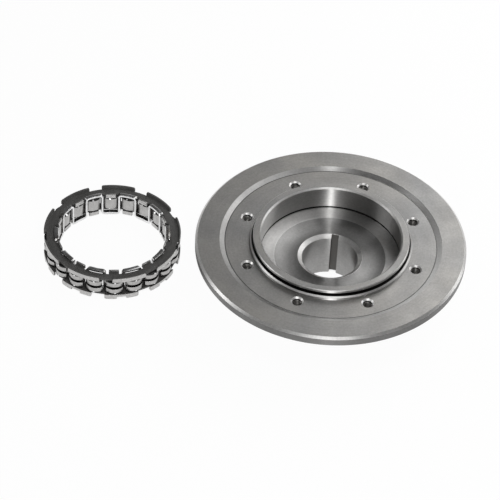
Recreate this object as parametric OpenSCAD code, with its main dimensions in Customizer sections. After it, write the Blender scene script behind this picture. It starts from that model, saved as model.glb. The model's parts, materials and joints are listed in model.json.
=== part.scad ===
// Starter clutch: a turned flange hub with a bearing recess, and the loose
// one-way sprag bearing that drops into that recess, set down beside it.
// Origin on the bore axis at the hub's end face, +Z up along the bore.

/* [Flange] */
// Outer diameter of the flange
flange_d = 144; // [134:1:170]
// Height of the outer land above the hub's end face
land_height = 37; // [33:0.5:48]
// Thickness of the flange at its rim
rim_thickness = 5.6; // [4.5:0.1:8]
// Chamfer round the rim's upper edge
rim_chamfer = 1.2; // [0.4:0.1:1.8]
// Chamfer round the rim's lower edge
rim_lower_chamfer = 0.5; // [0.2:0.1:1]
// Diameter where the sloped step leaves the outer land
step_outer_d = 118.2; // [116:0.2:124]
// Diameter where the sloped step reaches the bolt face
step_inner_d = 113; // [110:0.2:115]
// Depth of the bolt face below the outer land
step_depth = 1.2; // [0.6:0.1:2]

/* [Bolt holes] */
// Number of tapped holes
bolt_count = 8; // [4:1:12]
// Diameter of the bolt circle
bolt_circle_d = 96; // [95:0.5:101]
// Core diameter of a tapped hole
tap_d = 5; // [3.3:0.1:6]
// Width of the countersink round each hole
countersink_w = 0.9; // [0.3:0.1:1.2]
// Angle of the first hole from +X
bolt_angle = 22.5; // [0:0.5:45]
// Thickness of the metal that the holes are tapped through
bolt_thickness = 9.8; // [7:0.1:12]
// Diameter of the boss under the flange that gives this thickness
boss_d = 110; // [106:0.5:116]

/* [Collar and recess] */
// Diameter of the ground recess, the bearing's outer race
recess_d = 74.42; // [70:0.02:76]
// Depth of the recess from the collar's top to the ledge
recess_depth = 14.8; // [14.4:0.1:18]
// Chamfer at the recess mouth
mouth_chamfer = 0.8; // [0.4:0.1:2]
// Wall of the collar at the recess
collar_wall = 4.3; // [3.4:0.1:4.8]
// Height of the collar above the outer land
collar_height = 4; // [3:0.1:6]
// Chamfer round the collar's outer edge
collar_chamfer = 0.4; // [0.2:0.1:0.8]
// Drop from the collar's top to the shoulder at its foot
shoulder_drop = 3; // [2.4:0.1:3.6]
// How far the shoulder stands out past the collar
shoulder_w = 1.6; // [1.2:0.1:1.8]
// Rounding of the shoulder's outer edge
shoulder_chamfer = 0.8; // [0.2:0.1:1]
// Height of the undercut between collar and shoulder
undercut_h = 1.3; // [0.6:0.1:1.6]
// Depth of the undercut into the collar
undercut_depth = 1; // [0.4:0.1:1.4]
// Height of the relief groove at the foot of the recess wall
relief_h = 1.2; // [0.6:0.1:2]
// Depth of the relief groove into the wall
relief_depth = 0.6; // [0.3:0.1:1]
// Height of the lip left under the relief groove
relief_lip = 0.5; // [0.3:0.1:1]

/* [Hub] */
// Diameter of the shaft bore
bore_d = 30; // [26:0.5:32]
// Width of the chamfer at the top of the bore
bore_chamfer_w = 2.2; // [1:0.1:3]
// Height of the chamfer at the top of the bore
bore_chamfer_h = 1.5; // [0.8:0.1:2.5]
// Width of the keyway
keyway_w = 4; // [3:0.1:6]
// Depth of the keyway from the bore wall
keyway_depth = 2; // [1:0.1:3]
// Angle of the keyway from +X
keyway_angle = 78.5; // [0:0.5:360]
// Inner diameter of the flat ledge that the bearing rests on
ledge_inner_d = 59.5; // [58.5:0.1:62]
// Depth of the round channel between the ledge and the bore
channel_depth = 1.6; // [0.8:0.1:4]
// Metal left under the channel
floor_thickness = 5.6; // [4:0.1:8]
// Outer diameter of the bowl under the flange
bowl_d = 84; // [83:0.5:92]
// Outer diameter of the hub's foot
hub_d = 48; // [42:0.5:56]
// Chamfer and fillet size on the flange's hidden side
under_chamfer = 1.5; // [0.5:0.1:2.5]

/* [Bearing cage] */
// Diameter of the inner race that turns inside the bearing
inner_race_d = 57.76; // [56:0.02:60]
// Radial clearance of the cage in the recess
cage_fit = 0.16; // [0.1:0.02:0.4]
// Radial clearance of the cage round the inner race
race_clearance = 0.22; // [0.1:0.02:0.4]
// Height over the two side plates
cage_height = 11.2; // [9.6:0.1:11.4]
// Thickness of a side plate
plate_t = 1; // [0.8:0.1:1.4]
// Radial depth of the separator strip inside the plates
strip_depth = 2.25; // [1.8:0.05:2.6]
// Thickness of the separator strip
strip_t = 1; // [0.6:0.1:1.2]
// How far the strip's bends stand out past the side plates
strip_proud = 1.3; // [0.9:0.1:1.5]
// Inner bend radius of the separator strip
strip_bend_r = 0.8; // [0.5:0.1:1.2]
// Number of lips on each side plate
lip_count = 9; // [6:1:12]
// Thickness of a lip
lip_t = 0.9; // [0.6:0.1:1.2]
// Height of the upper plate's lips
upper_lip_h = 1.6; // [1:0.1:2]
// Height of the lower plate's lips
lower_lip_h = 1.8; // [1:0.1:2]
// Angle that a lip covers
lip_span = 29; // [20:0.5:32]
// Rounding of a lip's free corners
lip_corner_r = 1; // [0.4:0.1:1.4]
// Angle by which a notch undercuts the ends of the lips beside it
bend_relief = 1; // [0.5:0.1:2]
// Depth of the notch between two lips
notch_depth = 1.5; // [1:0.1:3.2]
// Angle of the slot in the middle of a lower lip
lip_slot_span = 8.3; // [4:0.1:12]
// Height of that slot, open at the lip's edge
lip_slot_h = 1.4; // [0.6:0.1:1.6]
// Width of a tongue at the plates' inner edge
tongue_w = 5.5; // [3:0.1:6]
// Thickness of the tab that is turned up at the end of a tongue
tab_t = 0.9; // [0.6:0.1:1.2]
// Height of that tab above the plate
tab_h = 1.3; // [0.8:0.1:1.5]

/* [Sprags] */
// Number of sprags, an even number
sprag_count = 20; // [16:2:20]
// Radius of a sprag's outer cam face
outer_cam_r = 6; // [5.6:0.1:8]
// Radius of a sprag's inner cam face
inner_cam_r = 6; // [5:0.1:7]
// Sideways offset of the cam centres, which makes the sprag wedge
cam_offset = 0.2; // [0:0.05:0.3]
// Width over a sprag's outer cam face
outer_face_w = 9.4; // [8:0.1:9.8]
// Width over a sprag's inner cam face
inner_face_w = 7.2; // [6:0.1:7.4]
// Half width of the sprag's waist
waist_half = 2.6; // [2:0.1:2.8]
// Radius of the hollow in each flank
flank_r = 2.2; // [1.8:0.1:2.4]
// How far the waist lies inside the middle of the sprag
waist_shift = 0.65; // [0.4:0.05:0.9]
// Height of the bevel at both ends of the inner cam face
end_bevel_h = 0.9; // [0.4:0.1:1.2]
// Depth of that bevel into the sprag
end_bevel_w = 1.1; // [0.6:0.1:1.4]
// Gap between a sprag's ends and the side plates
end_gap = 0.25; // [0.15:0.05:0.4]
// Gap between a sprag at rest and either race
cam_gap = 0.4; // [0.3:0.05:0.6]
// Width of the groove for the garter spring
groove_w = 1.7; // [1.4:0.1:2.2]
// Diameter of the garter spring's coil
spring_d = 1.2; // [0.8:0.1:1.3]
// Gap between the garter spring and the bottom of the groove
spring_gap = 0.7; // [0.65:0.05:0.9]

/* [Placing] */
// Gap between the flange's rim and the bearing set down beside it
bearing_gap = 10.45; // [5:0.05:40]
// Direction of the bearing from the bore axis, from +X
bearing_angle = 167.2; // [90:0.1:270]
// Angle of the first sprag in the cage
sprag_angle = 93.5; // [0:0.5:360]
// Angle of the first upper lip
upper_lip_angle = 86.5; // [0:0.5:360]
// Angle of the first lower lip
lower_lip_angle = 79.8; // [0:0.1:360]

/* [Hidden] */
$fn = 96;
eps = 0.01;
past = 1;
// How far a flared bend or a lip's rounded corner runs out past the edge beside it
flare_drop = 0.06;
// How far a tab stands in from the sides and the end of its tongue
tab_inset = 0.05;

steel_turned = [0.60, 0.59, 0.57];
steel_phosphate = [0.30, 0.29, 0.28];
steel_strip = [0.78, 0.77, 0.75];
steel_sprag = [0.66, 0.65, 0.63];
steel_spring = [0.16, 0.16, 0.16];

flange_r = flange_d / 2;
rim_bottom = land_height - rim_thickness;
bolt_face = land_height - step_depth;
collar_top = land_height + collar_height;
recess_r = recess_d / 2;
collar_r = recess_r + collar_wall;
shoulder_top = collar_top - shoulder_drop;
shoulder_r = collar_r + shoulder_w;
ledge = collar_top - recess_depth;
relief_bottom = ledge + relief_lip;
bore_r = bore_d / 2;
bore_top = ledge - bore_chamfer_h;
bore_mouth_r = bore_r + bore_chamfer_w;
boss_r = boss_d / 2;
boss_bottom = bolt_face - bolt_thickness;
bowl_bottom = ledge - channel_depth - floor_thickness;
bowl_r = bowl_d / 2;
hub_r = hub_d / 2;

channel_half_w = (ledge_inner_d / 2 - bore_mouth_r) / 2;
channel_mid_r = bore_mouth_r + channel_half_w;
channel_r = (channel_half_w * channel_half_w + channel_depth * channel_depth) / (2 * channel_depth);

cage_r = recess_r - cage_fit;
strip_in_r = inner_race_d / 2 + race_clearance;
strip_out_r = strip_in_r + strip_depth;
strip_h = cage_height + 2 * strip_proud;
strip_seat_gap = 0.05;
plate_in_r = strip_out_r + strip_seat_gap;
plate_bottom = lower_lip_h;
plate_top = plate_bottom + cage_height;
cage_mid = plate_bottom + cage_height / 2;
lip_pitch = 360 / lip_count;
lip_cut_r = cage_r - 3 * lip_t;
lip_cut_depth = cage_r + past - lip_cut_r;

pitch = 360 / sprag_count;
window_half = strip_in_r * tan(pitch / 2) - strip_t / 2;
sprag_in_r = inner_race_d / 2 + cam_gap;
sprag_out_r = recess_r - cam_gap;
waist_r = (sprag_in_r + sprag_out_r) / 2 - waist_shift;
sprag_h = cage_height - 2 * (plate_t + end_gap);
spring_r = sprag_out_r - spring_d - cam_gap;
groove_r = spring_r - spring_d / 2 - spring_gap;

bearing_distance = flange_r + cage_r + bearing_gap;
bearing_x = bearing_distance * cos(bearing_angle);
bearing_y = bearing_distance * sin(bearing_angle);

sprag_names = [for (i = [1 : sprag_count]) str("sprag_", i < 10 ? "0" : "", i)];

// Half section of the flange hub, from the bore up through the recess and round the outside
module flange_section() {
    polygon([
        [bore_r, 0],
        [bore_r, bore_top],
        [bore_mouth_r, ledge],
        [recess_r, ledge],
        [recess_r, relief_bottom],
        [recess_r + relief_depth, relief_bottom],
        [recess_r + relief_depth, relief_bottom + relief_h],
        [recess_r, relief_bottom + relief_h],
        [recess_r, collar_top - mouth_chamfer],
        [recess_r + mouth_chamfer, collar_top],
        [collar_r - collar_chamfer, collar_top],
        [collar_r, collar_top - collar_chamfer],
        [collar_r, shoulder_top + undercut_h],
        [collar_r - undercut_depth, shoulder_top + undercut_h],
        [collar_r - undercut_depth, shoulder_top],
        [shoulder_r - shoulder_chamfer, shoulder_top],
        [shoulder_r, shoulder_top - shoulder_chamfer],
        [shoulder_r, bolt_face],
        [step_inner_d / 2, bolt_face],
        [step_outer_d / 2, land_height],
        [flange_r - rim_chamfer, land_height],
        [flange_r, land_height - rim_chamfer],
        [flange_r, rim_bottom + rim_lower_chamfer],
        [flange_r - rim_lower_chamfer, rim_bottom],
        [boss_r + under_chamfer, rim_bottom],
        [boss_r, rim_bottom - under_chamfer],
        [boss_r, boss_bottom + under_chamfer],
        [boss_r - under_chamfer, boss_bottom],
        [bowl_r + under_chamfer, boss_bottom],
        [bowl_r, boss_bottom - under_chamfer],
        [bowl_r, bowl_bottom + under_chamfer],
        [bowl_r - under_chamfer, bowl_bottom],
        [hub_r + under_chamfer, bowl_bottom],
        [hub_r, bowl_bottom - under_chamfer],
        [hub_r, under_chamfer],
        [hub_r - under_chamfer, 0]
    ]);
}

// One tapped hole with its countersink, on the bolt face
module bolt_hole() {
    tap_r = tap_d / 2;
    translate([0, 0, boss_bottom - past])
        cylinder(r = tap_r, h = bolt_thickness + 2 * past);
    translate([0, 0, bolt_face - countersink_w])
        cylinder(r1 = tap_r, r2 = tap_r + countersink_w + eps, h = countersink_w + eps);
}

module flange_hub() {
    color(steel_turned)
    difference() {
        rotate_extrude() flange_section();
        rotate_extrude()
            translate([channel_mid_r, ledge - channel_depth + channel_r])
                circle(r = channel_r);
        for (i = [0 : bolt_count - 1])
            rotate([0, 0, bolt_angle + i * 360 / bolt_count])
                translate([bolt_circle_d / 2, 0, 0])
                    bolt_hole();
        rotate([0, 0, keyway_angle])
            translate([0, -keyway_w / 2, -past])
                cube([bore_r + keyway_depth, keyway_w, ledge + 2 * past]);
    }
}

// Moves what is drawn about the bearing's own axis to where the bearing lies
module at_bearing() {
    translate([bearing_x, bearing_y, 0]) children();
}

// Flat sector of a ring between two radii, centred on an angle
module sector(r_in, r_out, angle, span) {
    reach = 2 * r_out;
    start = angle - span / 2;
    end = angle + span / 2;
    intersection() {
        difference() {
            circle(r = r_out);
            circle(r = r_in);
        }
        polygon([[0, 0], reach * [cos(start), sin(start)], reach * [cos(end), sin(end)]]);
    }
}

// Points of an arc about a centre, from one angle to another
function arc(centre, r, from, to, steps = 6) =
    [for (k = [0 : steps])
        let (angle = from + (to - from) * k / steps)
        centre + r * [cos(angle), sin(angle)]];

// Flat outline of a side plate, with notches between the lips and tongues at the inner edge
module plate_outline(lip_angle, first_tongue) {
    difference() {
        circle(r = cage_r - lip_t / 2);
        circle(r = plate_in_r);
        for (i = [0 : lip_count - 1])
            sector(cage_r - notch_depth, cage_r + past,
                lip_angle + (i + 0.5) * lip_pitch, lip_pitch - lip_span + 2 * bend_relief);
    }
    at_tongues(first_tongue)
        translate([0, -tongue_w / 2])
            square([plate_in_r + past - sprag_in_r, tongue_w]);
}

// Repeats what is drawn at the inner end of every second sprag's place
module at_tongues(first_tongue) {
    for (i = [first_tongue : 2 : sprag_count - 1])
        rotate([0, 0, sprag_angle + i * pitch])
            translate([sprag_in_r, 0])
                children();
}

// The tabs turned up at the ends of the tongues, from z = 0
module plate_tabs(height, first_tongue) {
    linear_extrude(height)
        at_tongues(first_tongue)
            translate([tab_inset, tab_inset - tongue_w / 2])
                square([tab_t, tongue_w - 2 * tab_inset]);
}

// Opening between two lips of height h, with the lips' rounded corners at its top
module lip_gap_outline(h) {
    gap_half = cage_r * sin((lip_pitch - lip_span) / 2);
    corner_x = gap_half + lip_corner_r;
    corner_z = h - lip_corner_r + flare_drop;
    polygon(concat(
        [[gap_half, -past]],
        arc([corner_x, corner_z], lip_corner_r, 180, 90),
        [[corner_x, h + past], [-corner_x, h + past]],
        arc([-corner_x, corner_z], lip_corner_r, 90, 0),
        [[-gap_half, -past]]));
}

// The bent lips of a side plate, centred on z = 0, with their free edge up, or down where turned over
module lip_ring(h, lip_angle, turn) {
    difference() {
        rotate_extrude()
            translate([cage_r - lip_t, -h / 2])
                square([lip_t, h]);
        for (i = [0 : lip_count - 1])
            rotate([turn, 0, lip_angle + (i + 0.5) * lip_pitch])
                translate([lip_cut_r, 0, -h / 2])
                    rotate([90, 0, 90])
                        linear_extrude(lip_cut_depth)
                            lip_gap_outline(h);
    }
}

module upper_side_plate() {
    lip_h = plate_t + upper_lip_h;
    color(steel_phosphate)
    at_bearing()
    translate([0, 0, plate_top - plate_t]) {
        linear_extrude(plate_t) plate_outline(upper_lip_angle, 0);
        translate([0, 0, plate_t / 2]) plate_tabs(plate_t / 2 + tab_h, 0);
        translate([0, 0, lip_h / 2]) lip_ring(lip_h, upper_lip_angle, 0);
    }
}

module lower_side_plate() {
    lip_h = plate_t + lower_lip_h;
    slot_half = cage_r * sin(lip_slot_span / 2);
    color(steel_phosphate)
    at_bearing() {
        translate([0, 0, plate_bottom]) {
            linear_extrude(plate_t) plate_outline(lower_lip_angle, 1);
            translate([0, 0, -tab_h]) plate_tabs(plate_t / 2 + tab_h, 1);
        }
        difference() {
            translate([0, 0, lip_h / 2]) lip_ring(lip_h, lower_lip_angle, 180);
            for (i = [0 : lip_count - 1])
                rotate([0, 0, lower_lip_angle + i * lip_pitch])
                    translate([lip_cut_r, -slot_half, -past])
                        cube([lip_cut_depth, 2 * slot_half, lip_slot_h + past]);
        }
    }
}

// Opening of one strip window, open at z = 0 with flared bends there, and closed by a bend at the top
module window_outline() {
    bend_h = strip_h - strip_t - strip_bend_r;
    bend_x = window_half - strip_bend_r;
    flare_r = strip_bend_r + strip_t;
    flare_x = window_half + flare_r;
    polygon(concat(
        [[flare_x, -past]],
        arc([flare_x, flare_r - flare_drop], flare_r, 270, 180),
        arc([bend_x, bend_h], strip_bend_r, 0, 90),
        arc([-bend_x, bend_h], strip_bend_r, 90, 180),
        arc([-flare_x, flare_r - flare_drop], flare_r, 0, -90),
        [[-flare_x, -past]]));
}

// Serpentine ribbon: every other window is closed at the top, the rest at the bottom
module separator_strip() {
    color(steel_strip)
    at_bearing()
    translate([0, 0, cage_mid])
    difference() {
        rotate_extrude()
            translate([strip_in_r, -strip_h / 2])
                square([strip_depth, strip_h]);
        for (i = [0 : sprag_count - 1])
            rotate([i % 2 == 0 ? 180 : 0, 0, sprag_angle + i * pitch])
                translate([strip_in_r - past, 0, -strip_h / 2])
                    rotate([90, 0, 90])
                        linear_extrude(strip_depth + 2 * past)
                            window_outline();
    }
}

module garter_spring() {
    color(steel_spring)
    at_bearing()
    translate([0, 0, cage_mid])
        rotate_extrude()
            translate([spring_r, 0])
                circle(r = spring_d / 2);
}

// Plan of a sprag that lies along +X: two offset cam lobes with a waist between them
module sprag_outline() {
    difference() {
        union() {
            intersection() {
                translate([sprag_out_r - outer_cam_r, cam_offset]) circle(r = outer_cam_r);
                translate([waist_r, -outer_face_w / 2])
                    square([sprag_out_r - waist_r + past, outer_face_w]);
            }
            intersection() {
                translate([sprag_in_r + inner_cam_r, -cam_offset]) circle(r = inner_cam_r);
                translate([sprag_in_r - past, -inner_face_w / 2])
                    square([waist_r - sprag_in_r + past + eps, inner_face_w]);
            }
        }
        for (side = [-1, 1])
            translate([waist_r, side * (waist_half + flank_r)])
                circle(r = flank_r);
    }
}

// Section of the bevel at one end of the inner cam face, upright for side = 1 and turned over for -1
module end_bevel_section(side) {
    slope = end_bevel_h / end_bevel_w;
    end_z = sprag_h / 2;
    polygon([
        [sprag_in_r - past, side * (end_z - end_bevel_h - past * slope)],
        [sprag_in_r + end_bevel_w + past, side * (end_z + past * slope)],
        [sprag_in_r - past, side * (end_z + past * slope)]
    ]);
}

module sprag(index) {
    color(steel_sprag)
    at_bearing()
    translate([0, 0, cage_mid])
    rotate([0, 0, sprag_angle + index * pitch])
    difference() {
        translate([0, 0, -sprag_h / 2])
            linear_extrude(sprag_h)
                sprag_outline();
        rotate_extrude()
            translate([groove_r, -groove_w / 2])
                square([sprag_out_r, groove_w]);
        for (side = [-1, 1])
            rotate_extrude() end_bevel_section(side);
    }
}

flange_hub();
upper_side_plate();
lower_side_plate();
separator_strip();
garter_spring();
for (i = [0 : sprag_count - 1])
    sprag(i);
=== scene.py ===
"""Looks of the starter clutch: finishes, fine threads, the coiled spring, camera and studio light."""
import json
import math

import bmesh
import bpy
from mathutils import Matrix, Vector


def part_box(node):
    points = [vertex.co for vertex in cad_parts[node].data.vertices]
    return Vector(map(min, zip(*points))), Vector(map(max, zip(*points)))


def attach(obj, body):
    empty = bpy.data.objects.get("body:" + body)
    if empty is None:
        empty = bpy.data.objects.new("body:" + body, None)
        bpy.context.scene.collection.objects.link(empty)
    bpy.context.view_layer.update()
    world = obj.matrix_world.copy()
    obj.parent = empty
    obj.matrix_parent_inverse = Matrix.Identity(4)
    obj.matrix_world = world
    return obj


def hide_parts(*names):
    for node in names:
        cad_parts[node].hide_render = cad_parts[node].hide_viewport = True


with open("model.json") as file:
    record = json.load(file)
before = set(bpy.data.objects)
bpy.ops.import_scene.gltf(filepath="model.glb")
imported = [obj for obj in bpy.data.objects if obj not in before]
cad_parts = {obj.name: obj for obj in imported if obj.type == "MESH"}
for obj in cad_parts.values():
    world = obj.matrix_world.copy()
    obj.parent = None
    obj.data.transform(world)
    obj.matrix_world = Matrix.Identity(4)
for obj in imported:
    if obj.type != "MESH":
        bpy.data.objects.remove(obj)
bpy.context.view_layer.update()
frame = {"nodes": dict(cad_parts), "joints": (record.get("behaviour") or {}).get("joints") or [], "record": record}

MM = 0.001

# Sizes that the frame doesn't give: the ribbon's width, the radius of the sprags' inner faces, the first
# tapped hole's angle and lowest point, and how far the bearing's ledge lies below the recess mount
RIBBON_W = 2.25 * MM
SPRAG_IN_R = 29.28 * MM
BOLT_ANGLE = math.radians(22.5)
BOLT_BOTTOM = 26.0 * MM
LEDGE_BELOW = 7.8 * MM

# Places taken from the frame
joints = {joint["name"]: joint for joint in frame["joints"]}
mounts = {mount["name"]: mount for mount in frame["record"]["mounts"]}
BEARING_AT = Vector(joints["bearing_turn"]["pos_m"])
RECESS_R = mounts["bearing_recess"]["dims"]["r_mm"] * MM
LEDGE_TOP = mounts["bearing_recess"]["pos_m"][2] - LEDGE_BELOW
BORE_R = mounts["shaft_bore"]["dims"]["r_mm"] * MM
BOLTS = mounts["bolt_circle"]
BOLT_PCR = BOLTS["dims"]["pcd_mm"] * MM / 2
BOLT_R = BOLTS["dims"]["hole_r_mm"] * MM
BOLT_COUNT = BOLTS["dims"]["count"]
BOLT_TOP = BOLTS["pos_m"][2]
FLANGE_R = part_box("flange_hub")[1].x
CAGE_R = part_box("upper_side_plate")[1].x - BEARING_AT.x
STRIP_IN_R = (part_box("separator_strip")[1].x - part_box("separator_strip")[0].x) / 2 - RIBBON_W
CAGE_MID = (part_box("garter_spring")[0].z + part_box("garter_spring")[1].z) / 2
SPRAGS = sorted(name for name in frame["nodes"] if name.startswith("sprag_"))
SPRAG_PITCH = math.tau / len(SPRAGS)
FIRST_SPRAG = Vector(joints["sprag_01_tilt"]["pos_m"]) - BEARING_AT
FIRST_SPRAG_ANGLE = math.atan2(FIRST_SPRAG.y, FIRST_SPRAG.x)

# Camera, in the part's frame, for an image of 500 by 500 pixels
IMAGE_PX = 500
FOCAL_PX = 3000
SENSOR_MM = 36
CAMERA_AT = Vector((-0.0857, -1.1486, 1.1339))
CAMERA_RIGHT = Vector((0.9992, 0, 0.039))
CAMERA_FORWARD = Vector((0.027, 0.7204, -0.693))


def add_camera():
    data = bpy.data.cameras.new("camera")
    data.sensor_width = SENSOR_MM
    data.lens = SENSOR_MM * FOCAL_PX / IMAGE_PX
    camera = bpy.data.objects.new("camera", data)
    back = -CAMERA_FORWARD.normalized()
    up = back.cross(CAMERA_RIGHT).normalized()
    right = up.cross(back)
    camera.matrix_world = Matrix.Translation(CAMERA_AT) @ Matrix((right, up, back)).transposed().to_4x4()
    bpy.context.scene.collection.objects.link(camera)
    bpy.context.scene.camera = camera


# Part of the noise textures' range that is used, how lathe marks change along their turn, the share of the
# warmth that blue loses, and the turn that lays the stretched gloss across the marks
NOISE_RANGE = (0.3, 0.7)
MARK_WANDER = 2.0
BLUE_LOSS = 1.6
QUARTER_TURN = 0.25


class Shader:
    """A node material with short calls for adding and linking nodes."""

    def __init__(self, name):
        self.material = bpy.data.materials.new(name)
        self.material.use_nodes = True
        self.tree = self.material.node_tree
        self.surface = self.tree.nodes["Principled BSDF"]

    def set(self, socket, value):
        """Puts a constant on a socket, or links another node's output to it."""
        if isinstance(value, bpy.types.NodeSocket):
            self.tree.links.new(value, socket)
        else:
            socket.default_value = value

    def node(self, kind, inputs=(), **settings):
        made = self.tree.nodes.new(kind)
        for name, value in settings.items():
            setattr(made, name, value)
        for key, value in dict(inputs).items():
            self.set(made.inputs[key], value)
        return made

    def math(self, operation, a, b=0.0, c=0.0):
        return self.node("ShaderNodeMath", {0: a, 1: b, 2: c}, operation=operation).outputs[0]

    def length(self, a, b):
        return self.math("SQRT", self.math("ADD", self.math("MULTIPLY", a, a), self.math("MULTIPLY", b, b)))

    def from_nearest(self, angle, first, pitch):
        """Angle from the nearest of the copies that stand round the axis at that pitch."""
        turn = self.math("SUBTRACT", angle, first - pitch / 2)
        return self.math("SUBTRACT", self.math("FLOORED_MODULO", turn, pitch), pitch / 2)

    def ramp(self, value, start, end, low=0.0, high=1.0):
        """Goes from low to high as the value goes from start to end."""
        return self.node("ShaderNodeMapRange", {0: value, 1: start, 2: end, 3: low, 4: high}).outputs[0]

    def between(self, value, low, high, edge):
        """Is one from low to high, and falls to nothing within the edge on each side."""
        return self.both(self.ramp(value, low - edge, low), self.ramp(value, high + edge, high))

    def both(self, *masks):
        product = masks[0]
        for mask in masks[1:]:
            product = self.math("MULTIPLY", product, mask)
        return product

    def either(self, a, b):
        return self.math("MAXIMUM", a, b)

    def outside(self, mask):
        return self.math("SUBTRACT", 1.0, mask)

    def mix(self, share, a, b):
        return self.node("ShaderNodeMix", {0: share, 2: a, 3: b}, data_type="FLOAT").outputs[0]

    def blend(self, share, a, b, blend_type):
        made = self.node("ShaderNodeMix", data_type="RGBA", blend_type=blend_type)
        for index, value in ((0, share), (6, a), (7, b)):
            self.set(made.inputs[index], value)
        return made.outputs[2]

    def tint(self, share, a, b):
        return self.blend(share, a, b, "MIX")

    def shade(self, colour, factor):
        return self.blend(1.0, colour, factor, "MULTIPLY")

    def noise(self, vector, scale, detail=2.0, low=0.0, high=1.0):
        texture = self.node("ShaderNodeTexNoise", {"Vector": vector, "Scale": scale, "Detail": detail})
        return self.ramp(texture.outputs[0], *NOISE_RANGE, low, high)

    def lines(self, x, y, z):
        """Noise that is drawn out into lines by the different rates of its three coordinates."""
        vector = self.node("ShaderNodeCombineXYZ", {0: x, 1: y, 2: z}).outputs[0]
        return self.node("ShaderNodeTexNoise", {"Vector": vector, "Scale": 1.0, "Detail": 3.0}).outputs[0]

    def rings(self, radius, angle, z, pitch):
        """Fine lathe marks that run round the axis and change quickly along radius and height."""
        return self.lines(self.math("DIVIDE", radius, pitch), self.math("DIVIDE", z, pitch),
                          self.math("MULTIPLY", angle, MARK_WANDER))

    def around(self, centre):
        """Object coordinates about an upright axis: (vector, radius, angle, height)."""
        place = self.node("ShaderNodeTexCoord").outputs["Object"]
        local = self.node("ShaderNodeVectorMath", {0: place, 1: (centre[0], centre[1], 0.0)},
                          operation="SUBTRACT").outputs[0]
        x, y, z = self.node("ShaderNodeSeparateXYZ", {0: local}).outputs
        return local, self.length(x, y), self.math("ARCTAN2", y, x), z

    def facing_up(self):
        normal = self.node("ShaderNodeTexCoord").outputs["Normal"]
        return self.node("ShaderNodeSeparateXYZ", {0: normal}).outputs[2]

    def bump(self, height, distance):
        made = self.node("ShaderNodeBump", {"Height": height, "Distance": distance})
        self.set(self.surface.inputs["Normal"], made.outputs[0])

    def finish(self, colour, roughness, metallic=1.0):
        self.set(self.surface.inputs["Base Color"], colour)
        self.set(self.surface.inputs["Roughness"], roughness)
        self.set(self.surface.inputs["Metallic"], metallic)

    def turned(self, anisotropy):
        """Stretches the gloss across marks that run round the object's own upright axis."""
        tangent = self.node("ShaderNodeTangent", direction_type="RADIAL", axis="Z").outputs[0]
        self.set(self.surface.inputs["Tangent"], tangent)
        self.set(self.surface.inputs["Anisotropic"], anisotropy)
        self.set(self.surface.inputs["Anisotropic Rotation"], QUARTER_TURN)


def grey(value, warmth=0.0):
    return (value * (1 + warmth), value, value * (1 - BLUE_LOSS * warmth), 1.0)


# Turned surfaces of the flange, as radii, heights and widths
STEP_R = (56.5 * MM, 59.1 * MM)
STEP_FOOT_SHADE_W = 0.5 * MM
CHANNEL_R = (17.2 * MM, 29.75 * MM)
# The undercut's band reaches onto the shoulder's top face, so its painted shade covers part of that face
UNDERCUT_R = (40.4 * MM, 42.3 * MM)
UNDERCUT_Z = (37.9 * MM, 39.4 * MM)
RELIEF_TOP = LEDGE_TOP + 1.8 * MM
KEYWAY_OUT_R = BORE_R + 2.1 * MM
SUNK_R = BOLT_R + 0.9 * MM
WALL_DEPTH = 0.05 * MM

# How far up a surface faces: flat ones, chamfers with their soft limit, and upright walls
FLAT_FACING = (0.97, 0.985)
CHAMFER_FACING = (0.3, 0.94)
CHAMFER_SOFT = 0.02
UPRIGHT_FACING = (0.3, 0.2)


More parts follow.
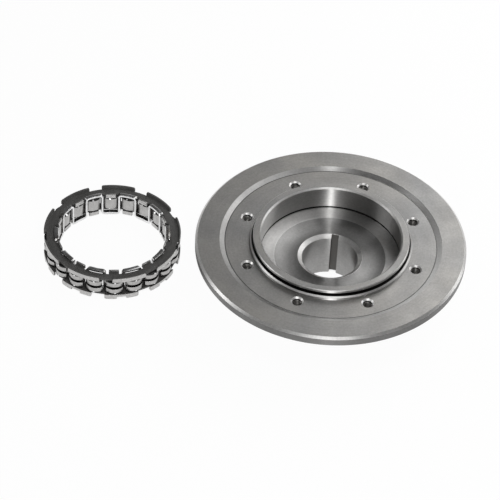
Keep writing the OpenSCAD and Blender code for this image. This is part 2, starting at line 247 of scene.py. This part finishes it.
def flange_regions(s, radius, angle, z):
    """Masks of the places on the flange that have a finish of their own."""
    facing = s.facing_up()
    flat = s.ramp(facing, *FLAT_FACING)
    chamfer = s.between(facing, *CHAMFER_FACING, CHAMFER_SOFT)
    upright = s.ramp(facing, *UPRIGHT_FACING)
    hole_r = hole_distance(s, radius, angle)
    step = s.between(radius, *STEP_R, WALL_DEPTH)
    channel = s.both(s.between(radius, *CHANNEL_R, WALL_DEPTH), s.ramp(z, LEDGE_TOP, LEDGE_TOP - WALL_DEPTH))
    faced = s.both(flat, s.ramp(z, LEDGE_TOP + WALL_DEPTH, LEDGE_TOP + 2 * WALL_DEPTH))
    cut_edge = s.both(chamfer, s.outside(step), s.outside(channel))
    undercut = s.both(s.between(radius, *UNDERCUT_R, WALL_DEPTH), s.between(z, *UNDERCUT_Z, WALL_DEPTH))
    relief = s.both(s.ramp(radius, RECESS_R + WALL_DEPTH, RECESS_R + 2 * WALL_DEPTH),
                    s.between(z, LEDGE_TOP, RELIEF_TOP, WALL_DEPTH))
    return {
        "channel": channel,
        "faced": faced,
        "cut_edge": cut_edge,
        "ledge": s.both(flat, s.between(z, LEDGE_TOP, LEDGE_TOP, WALL_DEPTH), s.outside(channel)),
        # The rim's side takes a darker grey all round: painted shade
        "rim": s.ramp(radius, FLANGE_R - 2 * WALL_DEPTH, FLANGE_R - WALL_DEPTH),
        "wall": s.both(s.between(radius, RECESS_R, RECESS_R, 2 * WALL_DEPTH), upright),
        "bore": s.both(s.ramp(radius, BORE_R + 2 * WALL_DEPTH, BORE_R + WALL_DEPTH), upright),
        "bore_edge": s.both(cut_edge, s.ramp(radius, CHANNEL_R[0] + WALL_DEPTH, CHANNEL_R[0])),
        # Countersinks take a near white grey: a painted highlight
        "countersink": s.both(cut_edge, s.ramp(hole_r, SUNK_R + 2 * WALL_DEPTH, SUNK_R + WALL_DEPTH)),
        # A narrow dark band at the step's foot: a painted shadow line
        "step_foot": s.both(faced, s.between(radius, STEP_R[0] - STEP_FOOT_SHADE_W, STEP_R[0], WALL_DEPTH)),
        "keyway": s.both(s.between(radius, BORE_R + 2 * WALL_DEPTH, KEYWAY_OUT_R, WALL_DEPTH), upright),
        # Hole walls take a near black grey: dark oily metal with painted shade
        "hole": s.ramp(hole_r, BOLT_R + 2 * WALL_DEPTH, BOLT_R + WALL_DEPTH),
        # Undercut with the shoulder's top face, and the relief groove: near black painted shade
        "groove": s.either(undercut, relief),
    }


def hole_distance(s, radius, angle):
    """Distance from the axis of the nearest tapped hole."""
    from_hole = s.from_nearest(angle, BOLT_ANGLE, math.tau / BOLT_COUNT)
    along = s.math("SUBTRACT", s.math("MULTIPLY", radius, s.math("COSINE", from_hole)), BOLT_PCR)
    across = s.math("MULTIPLY", radius, s.math("SINE", from_hole))
    return s.length(along, across)


# Colours of the flange: turned metal, faced lands with faint stains, then the cut places in the order in which
# they are laid on, with a darker rim as painted shade, near white countersinks as a painted highlight and a dark
# band at the step's foot as a painted shadow line, and last the places that are too rough or dirty to show wear,
# where the holes' near black walls are partly painted shade and the grooves are painted near black as shade
STEEL_WARMTH = 0.01
TURNED_GREY = 0.42
CHANNEL_GREY = 0.24
FACED_GREY = 0.29
FACED_WARMTH = 0.005
STAIN_GREY = 1.06 * FACED_GREY
STAIN_WARMTH = 0.03
STAIN_SCALE = 28.0
CUT_GREYS = {"ledge": 0.48, "rim": 0.20, "cut_edge": 0.62, "bore_edge": 0.50, "countersink": 0.92,
             "step_foot": 0.11}
# The holes' near black is dark oily metal with painted shade
ROUGH_GREYS = {"keyway": 0.15, "hole": 0.05}
ROUGH_WARMTH = 0.03
FLANGE_GROOVE_SHADE = 0.02
FLANGE_GROOVE_SHADE_WARMTH = 0.02


def flange_colour(s, at, local, wear):
    stains = s.noise(local, STAIN_SCALE, detail=4.0)
    land = s.tint(stains, grey(FACED_GREY, FACED_WARMTH), grey(STAIN_GREY, STAIN_WARMTH))
    colour = s.tint(at["channel"], grey(TURNED_GREY, STEEL_WARMTH), grey(CHANNEL_GREY, STEEL_WARMTH))
    colour = s.tint(at["faced"], colour, land)
    for place, value in CUT_GREYS.items():
        colour = s.tint(at[place], colour, grey(value, STEEL_WARMTH))
    colour = s.shade(colour, wear)
    for place, value in ROUGH_GREYS.items():
        colour = s.tint(at[place], colour, grey(value, ROUGH_WARMTH))
    # Grooves painted near black: painted shade in the undercut, on the shoulder beside it and in the relief groove
    return s.tint(at["groove"], colour, grey(FLANGE_GROOVE_SHADE, FLANGE_GROOVE_SHADE_WARMTH))


# Gloss of the flange
TURNED_ROUGHNESS = 0.43
FACED_ROUGHNESS = 0.46
STREAK_ROUGHNESS = 0.36
EDGE_ROUGHNESS = 0.38
BORE_ROUGHNESS = 0.34
SMEAR_SCALE = 90.0


def flange_roughness(s, at, local):
    roughness = s.mix(at["faced"], TURNED_ROUGHNESS, FACED_ROUGHNESS)
    roughness = s.mix(s.either(at["wall"], at["channel"]), roughness, STREAK_ROUGHNESS)
    roughness = s.mix(at["cut_edge"], roughness, EDGE_ROUGHNESS)
    roughness = s.mix(at["bore"], roughness, BORE_ROUGHNESS)
    return s.math("MULTIPLY", roughness, s.noise(local, SMEAR_SCALE, detail=3.0, low=0.92, high=1.1))


# Marks on the flange, and how far they stretch the gloss on turned, faced and rim surfaces
TURNING_PITCH = 0.16 * MM
TURNING_BUMP = 0.004 * MM
CLOUD_SCALE = 55.0
GRAIN_SCALE = 900.0
TURNED_STRETCH = 1.0
FACED_STRETCH = 0.1
RIM_STRETCH = 0.75


def turned_steel():
    s = Shader("turned_steel")
    local, radius, angle, z = s.around((0.0, 0.0))
    at = flange_regions(s, radius, angle, z)
    marks = s.rings(radius, angle, z, TURNING_PITCH)
    clouds = s.noise(local, CLOUD_SCALE, detail=5.0, low=0.9, high=1.1)
    grain = s.noise(local, GRAIN_SCALE, detail=4.0, low=0.92, high=1.08)
    streaks = s.ramp(marks, *NOISE_RANGE, low=0.93, high=1.07)
    wear = s.both(clouds, streaks, grain)
    s.finish(flange_colour(s, at, local, wear), flange_roughness(s, at, local))
    plain = s.either(at["faced"], at["cut_edge"])
    s.turned(s.mix(at["rim"], s.mix(plain, TURNED_STRETCH, FACED_STRETCH), RIM_STRETCH))
    s.bump(s.both(marks, grain), TURNING_BUMP)
    return s.material


# Finish of the cage: dark phosphate, with bright sheared metal on the lips' outsides and the tabs' ends
PLATE_GREY = 0.085
PLATE_WARMTH = 0.02
PLATE_ROUGHNESS = 0.55
PLATE_METALLIC = 0.3
PLATE_GRAIN = 2600.0
PLATE_CLOUDS = 120.0
PLATE_BUMP = 0.01 * MM
SHEARED_GREY = 0.50
SHEARED_ROUGHNESS = 0.34
SHEARED_GRAIN = 900.0
SHEARED_DEPTH = 0.14 * MM
TAB_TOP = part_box("upper_side_plate")[0].z + 2.3 * MM
TAB_OUT_R = SPRAG_IN_R + 1.0 * MM


def sheared_metal(s, radius, z):
    """Mask of the bare metal on the plates."""
    lip = s.ramp(radius, CAGE_R - SHEARED_DEPTH, CAGE_R - 0.6 * SHEARED_DEPTH)
    tab_end = s.ramp(radius, SPRAG_IN_R + 1.6 * SHEARED_DEPTH, SPRAG_IN_R + SHEARED_DEPTH)
    tab_top = s.both(s.ramp(radius, TAB_OUT_R + SHEARED_DEPTH, TAB_OUT_R),
                     s.ramp(z, TAB_TOP - 2 * SHEARED_DEPTH, TAB_TOP - SHEARED_DEPTH))
    return s.either(lip, s.either(tab_end, tab_top))


def phosphated_steel():
    s = Shader("phosphated_steel")
    local, radius, _, z = s.around(BEARING_AT)
    grain = s.noise(local, PLATE_GRAIN, detail=3.0, low=0.75, high=1.25)
    clouds = s.noise(local, PLATE_CLOUDS, detail=4.0, low=0.88, high=1.12)
    dark = s.shade(grey(PLATE_GREY, PLATE_WARMTH), s.both(grain, clouds))
    bright = s.shade(grey(SHEARED_GREY, STEEL_WARMTH), s.noise(local, SHEARED_GRAIN, low=0.82, high=1.1))
    sheared = sheared_metal(s, radius, z)
    s.finish(s.tint(sheared, dark, bright), s.mix(sheared, PLATE_ROUGHNESS, SHEARED_ROUGHNESS),
             metallic=s.mix(sheared, PLATE_METALLIC, 1.0))
    s.bump(grain, PLATE_BUMP)
    return s.material


# Finish of the ribbon: rolled steel with dull oily patches, and bright edges along its inner side: sheared metal
# made brighter as a painted highlight
RIBBON_GREY = 0.45
RIBBON_DULL_GREY = 0.14
RIBBON_DULL_WARMTH = 0.08
RIBBON_EDGE_HIGHLIGHT_GREY = 0.78
RIBBON_EDGE = 0.22 * MM
RIBBON_CLOUDS = 300.0
RIBBON_PATCHES = 110.0
RIBBON_SHEEN = 700.0
RIBBON_GRAIN = 1500.0
RIBBON_BUMP = 0.006 * MM


def strip_steel():
    s = Shader("strip_steel")
    local, radius, _, _ = s.around(BEARING_AT)
    clouds = s.noise(local, RIBBON_CLOUDS, detail=4.0, low=0.85, high=1.12)
    dull = s.noise(local, RIBBON_PATCHES, detail=3.0, low=-0.6, high=1.0)
    flat = s.tint(dull, grey(RIBBON_GREY), grey(RIBBON_DULL_GREY, RIBBON_DULL_WARMTH))
    # The inner edges take a near white grey: bright sheared metal with a painted highlight
    edge = s.ramp(radius, STRIP_IN_R + 1.3 * RIBBON_EDGE, STRIP_IN_R + RIBBON_EDGE)
    colour = s.shade(s.tint(edge, flat, grey(RIBBON_EDGE_HIGHLIGHT_GREY)), clouds)
    s.finish(colour, s.noise(local, RIBBON_SHEEN, low=0.2, high=0.32))
    s.bump(s.noise(local, RIBBON_GRAIN), RIBBON_BUMP)
    return s.material


# Finish of the sprags: ground satin faces, ends painted near black as shade with a painted glint on each, and a
# spring groove painted near black as shade
SPRAG_GREY = 0.46
SPRAG_CLOUDS = 400.0
SPRAG_SHEEN = 800.0
SPRAG_BUMP = 0.006 * MM
SPRAG_END_SHADE_GREY = 0.04
SPRAG_FACE_HALF = 3.5 * MM
GRIND_ANGLE = 260.0
GRIND_RADIUS = 2000.0
GRIND_HEIGHT = 160.0
SPRAG_GROOVE_SHADE = 0.015
GROOVE_HALF = 0.85 * MM
GROOVE_EDGE = 0.03 * MM
GROOVE_FROM_R = (SPRAG_IN_R + 2.0 * MM, SPRAG_IN_R + 2.5 * MM)
# A painted glint: a near white spot on each sprag's end
GLINT_GREY = 0.9
GLINT_ROUGHNESS = 0.3
GLINT_HALF = (0.55 * MM, 0.45 * MM)
GLINT_ASIDE = 0.5 * MM
GLINT_FADE = (1.0, 0.8)


def painted_glint(s, radius, angle, from_mid):
    """Mask of the painted glint, a round near white spot on each end of a sprag."""
    from_sprag = s.from_nearest(angle, FIRST_SPRAG_ANGLE, SPRAG_PITCH)
    aside = s.math("SUBTRACT", s.math("MULTIPLY", radius, from_sprag), GLINT_ASIDE)
    above = s.math("SUBTRACT", from_mid, SPRAG_FACE_HALF + GLINT_HALF[1] / 2)
    glint_r = s.length(s.math("DIVIDE", aside, GLINT_HALF[0]), s.math("DIVIDE", above, GLINT_HALF[1]))
    return s.ramp(glint_r, *GLINT_FADE)


def sprag_steel():
    s = Shader("sprag_steel")
    local, radius, angle, z = s.around(BEARING_AT)
    grind = s.lines(s.math("MULTIPLY", angle, GRIND_ANGLE), s.math("MULTIPLY", radius, GRIND_RADIUS),
                    s.math("MULTIPLY", z, GRIND_HEIGHT))
    shade = s.ramp(grind, *NOISE_RANGE, low=0.84, high=1.1)
    clouds = s.noise(local, SPRAG_CLOUDS, detail=3.0, low=0.88, high=1.08)
    bright = s.shade(grey(SPRAG_GREY, STEEL_WARMTH), s.both(shade, clouds))
    from_mid = s.math("ABSOLUTE", s.math("SUBTRACT", z, CAGE_MID))
    # The spring groove is painted near black: painted shade in the groove
    groove = s.both(s.ramp(from_mid, GROOVE_HALF + 2 * GROOVE_EDGE, GROOVE_HALF + GROOVE_EDGE),
                    s.ramp(radius, *GROOVE_FROM_R))
    # The ends and their bevels are painted near black: painted shade in the gap above the sprags
    end = s.ramp(from_mid, SPRAG_FACE_HALF - GROOVE_EDGE, SPRAG_FACE_HALF)
    glint = painted_glint(s, radius, angle, from_mid)
    colour = s.tint(end, bright, grey(SPRAG_END_SHADE_GREY))
    colour = s.tint(glint, colour, grey(GLINT_GREY))
    colour = s.tint(groove, colour, grey(SPRAG_GROOVE_SHADE))
    s.finish(colour, s.mix(glint, s.noise(local, SPRAG_SHEEN, low=0.28, high=0.42), GLINT_ROUGHNESS))
    s.bump(grind, SPRAG_BUMP)
    return s.material


# Finish of the oiled spring
SPRING_GREY = 0.03
SPRING_WARMTH = 0.02
SPRING_CLOUDS = 500.0
SPRING_SHEEN = 900.0


def spring_steel():
    s = Shader("spring_steel")
    local = s.around(BEARING_AT)[0]
    colour = s.shade(grey(SPRING_GREY, SPRING_WARMTH), s.noise(local, SPRING_CLOUDS, low=0.7, high=1.2))
    s.finish(colour, s.noise(local, SPRING_SHEEN, low=0.3, high=0.5))
    return s.material


# Finish of the threads
THREAD_GREY = 0.24
THREAD_WARMTH = 0.03
THREAD_CLOUDS = 700.0
THREAD_SHEEN = 900.0


def thread_steel():
    s = Shader("thread_steel")
    local = s.around((0.0, 0.0))[0]
    colour = s.shade(grey(THREAD_GREY, THREAD_WARMTH), s.noise(local, THREAD_CLOUDS, low=0.6, high=1.2))
    s.finish(colour, s.noise(local, THREAD_SHEEN, low=0.28, high=0.42))
    return s.material


def dress(node, material):
    for place in frame["nodes"][node].material_slots:
        place.material = material


def add_piece(name, mesh, body, material):
    mesh.materials.append(material)
    piece = bpy.data.objects.new(name, mesh)
    bpy.context.scene.collection.objects.link(piece)
    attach(piece, body)
    return piece


def sweep(verts, faces, path, closed):
    """Joins rings of points, each of equal length, into a tube, closed on itself or capped at both ends."""
    first = len(verts)
    sides = len(path[0])
    for ring in path:
        verts.extend(ring)
    spans = len(path) if closed else len(path) - 1
    for i in range(spans):
        here = first + i * sides
        there = first + (i + 1) % len(path) * sides
        for k in range(sides):
            n = (k + 1) % sides
            faces.append((here + k, here + n, there + n, there + k))
    if not closed:
        last = first + (len(path) - 1) * sides
        faces.append(tuple(first + k for k in reversed(range(sides))))
        faces.append(tuple(last + k for k in range(sides)))


# Closed coil of the garter spring
WIRE_R = 0.16 * MM
COIL_TURNS = 400
STEPS_PER_TURN = 9
WIRE_SIDES = 5


def add_garter_spring(material):
    low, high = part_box("garter_spring")
    coil_r = (high.z - low.z) / 2 - WIRE_R
    ring_r = (high.x - low.x) / 2 - coil_r - WIRE_R
    steps = COIL_TURNS * STEPS_PER_TURN
    wire_angles = [math.tau * k / WIRE_SIDES for k in range(WIRE_SIDES)]
    path = []
    for i in range(steps):
        ring_angle = math.tau * i / steps
        coil_angle = math.tau * i / STEPS_PER_TURN
        outward = Vector((math.cos(ring_angle), math.sin(ring_angle), 0))
        coil_out = outward * math.cos(coil_angle) + Vector((0, 0, math.sin(coil_angle)))
        forward = Vector((-math.sin(ring_angle), math.cos(ring_angle), 0))
        centre = BEARING_AT + outward * ring_r + coil_out * coil_r
        centre.z = CAGE_MID + coil_r * math.sin(coil_angle)
        path.append([centre + WIRE_R * (coil_out * math.cos(a) + forward * math.sin(a)) for a in wire_angles])
    verts, faces = [], []
    sweep(verts, faces, path, closed=True)
    mesh = bpy.data.meshes.new("garter_spring_coil")
    mesh.from_pydata(verts, [], faces)
    mesh.shade_smooth()
    coil = add_piece("garter_spring_coil", mesh, "cage", material)
    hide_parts("garter_spring")


# Thread ridges in the tapped holes: the shares of the pitch that a ridge's foot and crest reach to each
# side, and that the thread stays clear of the hole's ends
THREAD_PITCH = 1.0 * MM
THREAD_DEPTH = 0.32 * MM
THREAD_STEPS = 20
THREAD_FOOT = 0.42
THREAD_CREST = 0.07
THREAD_CLEAR = 0.45


def add_threads(material):
    turns = (BOLT_TOP - BOLT_BOTTOM) / THREAD_PITCH - 2 * THREAD_CLEAR
    steps = int(turns * THREAD_STEPS)
    foot_r = BOLT_R + WALL_DEPTH
    crest_r = BOLT_R - THREAD_DEPTH
    section = ((foot_r, -THREAD_FOOT), (crest_r, -THREAD_CREST),
               (crest_r, THREAD_CREST), (foot_r, THREAD_FOOT))
    verts, faces = [], []
    for hole in range(BOLT_COUNT):
        hole_angle = BOLT_ANGLE + math.tau * hole / BOLT_COUNT
        centre = BOLT_PCR * Vector((math.cos(hole_angle), math.sin(hole_angle), 0))
        path = []
        for i in range(steps + 1):
            angle = math.tau * i / THREAD_STEPS
            outward = Vector((math.cos(angle), math.sin(angle), 0))
            z = BOLT_BOTTOM + THREAD_PITCH * (THREAD_CLEAR + i / THREAD_STEPS)
            path.append([centre + outward * r + Vector((0, 0, z + share * THREAD_PITCH))
                         for r, share in section])
        sweep(verts, faces, path, closed=False)
    mesh = bpy.data.meshes.new("bolt_hole_threads")
    mesh.from_pydata(verts, [], faces)
    add_piece("bolt_hole_threads", mesh, "flange", material)


# Rolled edges of the stamped and ground pieces
EDGE_ROLL = 0.12 * MM
EDGE_SEGMENTS = 2
EDGE_ANGLE = math.radians(32)
FLAT_ANGLE = math.radians(0.4)
SAME_POINT = 0.001 * MM


def soften(node, body, material):
    """Stands a copy of a node with rolled edges in the node's place."""
    source = frame["nodes"][node].data
    shape = bmesh.new()
    shape.from_mesh(source)
    bmesh.ops.remove_doubles(shape, verts=shape.verts, dist=SAME_POINT)
    bmesh.ops.dissolve_limit(shape, angle_limit=FLAT_ANGLE, verts=shape.verts, edges=shape.edges)
    mesh = bpy.data.meshes.new(node + "_finished")
    shape.to_mesh(mesh)
    shape.free()
    mesh.shade_smooth()
    piece = add_piece(node + "_finished", mesh, body, material)
    edge = piece.modifiers.new("edge", "BEVEL")
    edge.width = EDGE_ROLL
    edge.segments = EDGE_SEGMENTS
    edge.limit_method = "ANGLE"
    edge.angle_limit = EDGE_ANGLE
    edge.harden_normals = True
    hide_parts(node)


# White floor, just below the pieces, that stays dark only in the narrow room under the bearing
FLOOR_HALF = 6.0
FLOOR_DROP = 0.2 * MM
FLOOR_WHITE = 0.9
FLOOR_ROUGHNESS = 0.9
FLOOR_GLOW = 0.96
CONTACT_DEPTH = 3.0 * MM
CONTACT_FADE = (0.12, 0.45)


def floor_white():
    s = Shader("floor_white")
    s.finish(grey(FLOOR_WHITE), FLOOR_ROUGHNESS, metallic=0.0)
    path = s.node("ShaderNodeLightPath").outputs
    mirrored = s.either(path["Is Glossy Ray"], path["Is Transmission Ray"])
    seen = s.either(path["Is Camera Ray"], mirrored)
    room = s.node("ShaderNodeAmbientOcclusion", {"Distance": CONTACT_DEPTH}).outputs["AO"]
    share = s.both(seen, s.ramp(room, *CONTACT_FADE), FLOOR_GLOW)
    glow = s.node("ShaderNodeEmission", {"Color": grey(1.0), "Strength": 1.0}).outputs[0]
    mixed = s.node("ShaderNodeMixShader", {0: share, 1: s.surface.outputs[0], 2: glow}).outputs[0]
    s.set(s.tree.nodes["Material Output"].inputs["Surface"], mixed)
    return s.material


def add_floor():
    mesh = bpy.data.meshes.new("floor")
    corners = [(-FLOOR_HALF, -FLOOR_HALF, 0), (FLOOR_HALF, -FLOOR_HALF, 0),
               (FLOOR_HALF, FLOOR_HALF, 0), (-FLOOR_HALF, FLOOR_HALF, 0)]
    mesh.from_pydata(corners, [], [(0, 1, 2, 3)])
    mesh.materials.append(floor_white())
    floor = bpy.data.objects.new("floor", mesh)
    floor.location.z = -FLOOR_DROP
    bpy.context.scene.collection.objects.link(floor)


def area_light(name, azimuth, elevation, size, radiance, distance):
    """A soft rectangular lamp seen from the part at that azimuth from +X and elevation, in degrees."""
    width, height = size
    data = bpy.data.lights.new(name, "AREA")
    data.shape = "RECTANGLE"
    data.size = width
    data.size_y = height
    data.energy = radiance * math.pi * width * height
    lamp = bpy.data.objects.new(name, data)
    a, e = math.radians(azimuth), math.radians(elevation)
    towards = Vector((math.cos(a) * math.cos(e), math.sin(a) * math.cos(e), math.sin(e)))
    lamp.location = towards * distance
    lamp.rotation_euler = (-towards).to_track_quat("-Z", "Y").to_euler()
    bpy.context.scene.collection.objects.link(lamp)


WORLD_GREY = 0.13


def add_light():
    world = bpy.data.worlds.new("studio")
    world.use_nodes = True
    world.node_tree.nodes["Background"].inputs["Color"].default_value = grey(WORLD_GREY)
    bpy.context.scene.world = world
    area_light("key_right", 47, 42, size=(0.50, 0.38), radiance=2.3, distance=0.5)
    area_light("low_right", 12, 9, size=(0.35, 0.14), radiance=3.5, distance=0.8)
    area_light("top_right", 12, 68, size=(0.30, 0.25), radiance=2.2, distance=0.7)
    area_light("back_low", 95, 14, size=(1.00, 0.40), radiance=0.5, distance=1.0)
    area_light("top_front", 270, 64, size=(0.30, 0.14), radiance=7.0, distance=0.8)
    area_light("strip_front", 271, 21, size=(0.03, 0.28), radiance=100.0, distance=0.8)
    area_light("fill_left", 183, 24, size=(0.32, 0.30), radiance=2.5, distance=0.8)


add_camera()
add_light()
add_floor()
dress("flange_hub", turned_steel())
add_threads(thread_steel())
plate_finish = phosphated_steel()
for plate in ("upper_side_plate", "lower_side_plate"):
    soften(plate, "cage", plate_finish)
soften("separator_strip", "cage", strip_steel())
add_garter_spring(spring_steel())
sprag_finish = sprag_steel()
for name in SPRAGS:
    soften(name, name, sprag_finish)

bpy.context.scene.view_settings.view_transform = "Standard"
